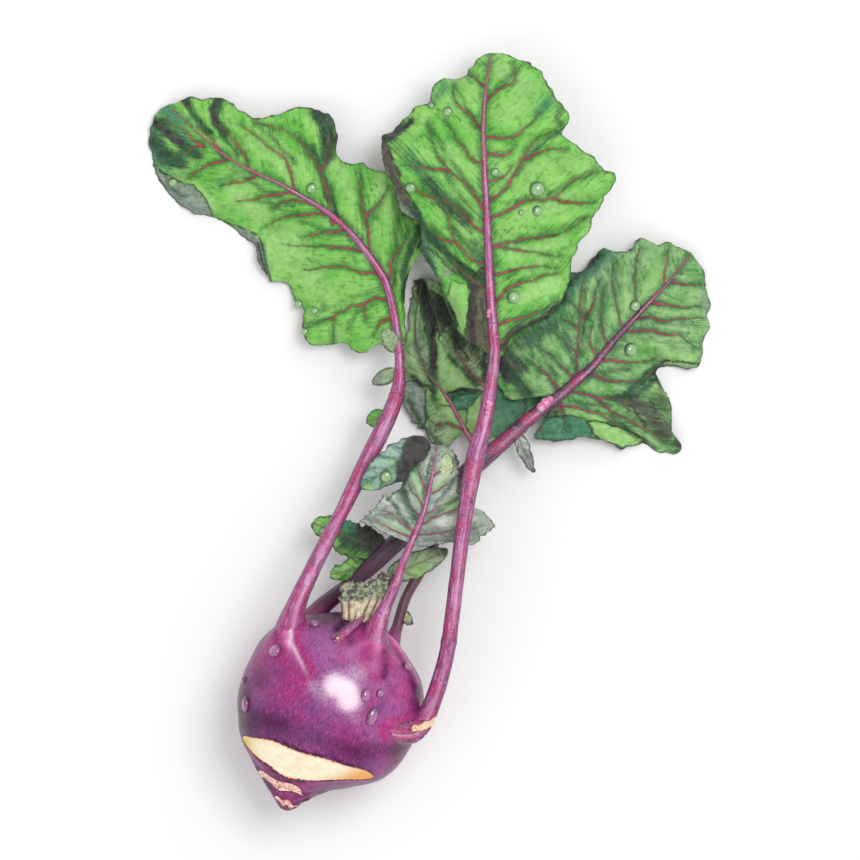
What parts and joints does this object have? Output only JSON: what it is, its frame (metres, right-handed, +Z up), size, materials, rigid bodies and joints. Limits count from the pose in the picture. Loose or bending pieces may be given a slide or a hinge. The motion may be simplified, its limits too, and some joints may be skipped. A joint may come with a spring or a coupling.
{
  "type": "kohlrabi",
  "caption": "Purple kohlrabi as picked, lying on its side: round swollen stem with a root cone, long leaf stalks and broad waved leaves.",
  "frame": {"origin": "middle of the flat spot on the bulb's underside, on the surface that the kohlrabi lies on", "axes": "+Z up from the surface, +Y along the surface from the root towards the leaf tips, +X to the right when seen from above with the leaf tips at the top"},
  "size_m": [0.2813, 0.3796, 0.0894],
  "materials": {
    "bulb_skin": "satin",
    "stalk_skin": "satin",
    "leaf_green": "matte",
    "leaf_dark": "matte",
    "leaf_grey": "matte",
    "leaf_pale": "matte"
  },
  "bodies": {
    "root": {"bulb": "bulb_skin", "left_leaf_stalk": "stalk_skin", "left_leaf_blade": "leaf_green", "top_leaf_stalk": "stalk_skin", "top_leaf_blade": "leaf_green", "right_leaf_stalk": "stalk_skin", "right_leaf_blade": "leaf_green", "back_leaf_stalk": "stalk_skin", "back_leaf_blade": "leaf_dark", "small_leaf_stalk": "stalk_skin", "small_leaf_blade": "leaf_grey", "heart_leaf": "leaf_pale"}
  },
  "joints": []
}
